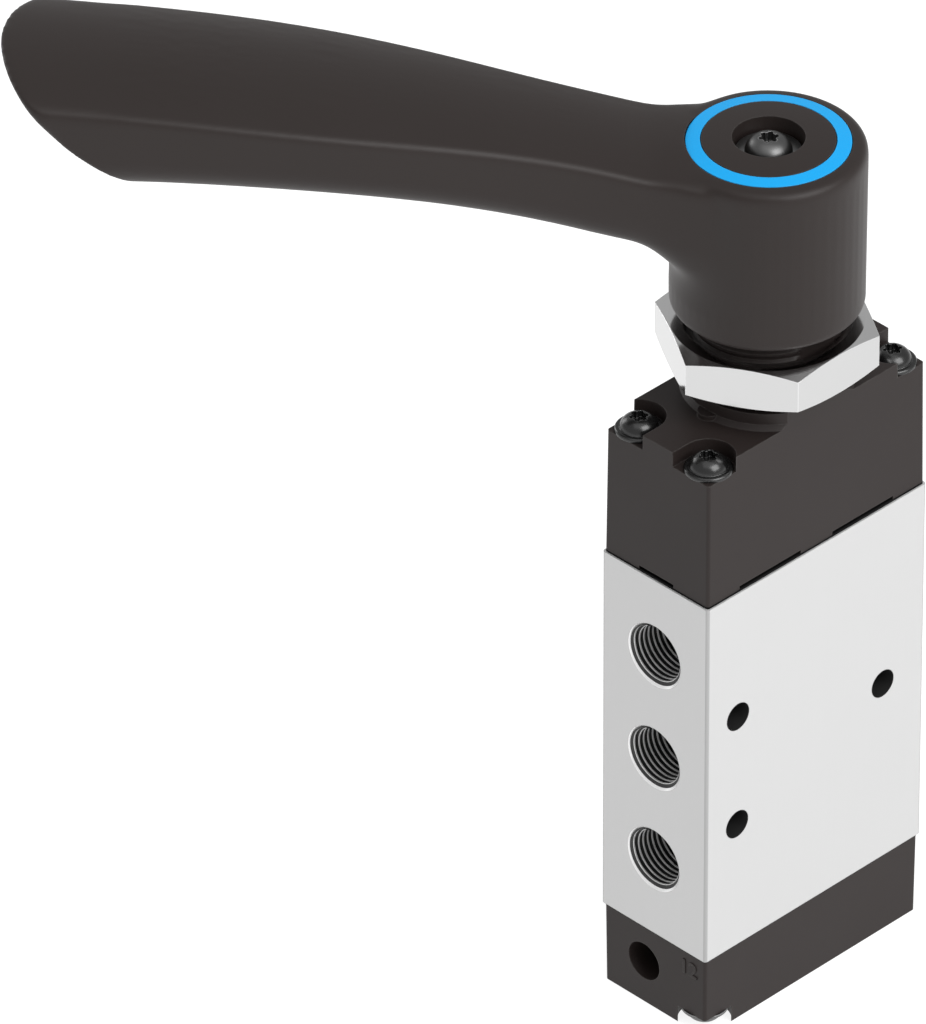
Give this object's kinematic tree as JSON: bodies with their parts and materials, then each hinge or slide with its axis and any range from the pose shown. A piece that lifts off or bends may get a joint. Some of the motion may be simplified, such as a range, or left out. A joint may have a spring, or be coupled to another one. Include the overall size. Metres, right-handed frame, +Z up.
{
  "type": "hand lever air valve",
  "caption": "Slim air valve with threaded side ports, a moulded cover with a panel collar and hex nut, and a paddle lever that turns the spool drive.",
  "frame": {"origin": "middle of the end cap's flat underside, on the lever's turning axis", "axes": "+Z up along the spool and lever axis, -Y out of the narrow face with three ports, +X out of a broad face"},
  "size_m": [0.0965, 0.1046, 0.1576],
  "materials": {
    "body_aluminium": "extruded, fine brushed, clear anodised",
    "black_polymer": "moulded, satin, fine grain",
    "nut_steel": "bright plated",
    "black_steel": "black oxide",
    "ring_blue": "smooth moulded",
    "seal_rubber": "smooth",
    "inner_steel": "ground",
    "spool_aluminium": "ground, hard anodised",
    "cage_polymer": "moulded, natural"
  },
  "bodies": {
    "valve": {"valve_body": "body_aluminium", "top_cover": "black_polymer", "end_cap": "black_polymer", "cover_gasket": "seal_rubber", "end_gasket": "seal_rubber", "cover_screws": "black_steel", "end_screws": "black_steel", "lower_guide_bush": "cage_polymer", "upper_guide_bush": "cage_polymer", "bush_o_rings": "seal_rubber", "return_spring": "inner_steel", "thrust_washer": "inner_steel", "detent_balls": "inner_steel", "detent_springs": "inner_steel", "seal_ring_1": "seal_rubber", "seal_ring_2": "seal_rubber", "seal_ring_3": "seal_rubber", "seal_ring_4": "seal_rubber", "seal_ring_5": "seal_rubber", "seal_ring_6": "seal_rubber", "port_cage_1": "cage_polymer", "port_cage_2": "cage_polymer", "port_cage_3": "cage_polymer", "port_cage_4": "cage_polymer", "port_cage_5": "cage_polymer"},
    "lever": {"lever": "black_polymer", "indicator_ring": "ring_blue", "lever_washer": "inner_steel", "lever_screw": "black_steel", "cam_shaft": "inner_steel", "shaft_o_ring": "seal_rubber"},
    "spool": {"spool": "spool_aluminium", "cam_follower": "cage_polymer"},
    "panel_nut": {"panel_nut": "nut_steel"}
  },
  "joints": [
    {"name": "lever_turn", "type": "hinge", "parent": "valve", "child": "lever", "pos_m": [0, 0, 0.114], "axis": [0, 0, 1], "range_deg": [0, 90]},
    {"name": "spool_travel", "type": "slide", "parent": "valve", "child": "spool", "axis": [0, 0, -1], "range_m": [0, 0.0045], "deforming": ["return_spring"]},
    {"name": "panel_nut_travel", "type": "slide", "parent": "valve", "child": "panel_nut", "axis": [0, 0, 1], "range_m": [-0.002, 0.0025]}
  ],
  "couplings": [
    {"joint": "spool_travel", "follows": "lever_turn", "m_per_rad": 0.0028648}
  ]
}
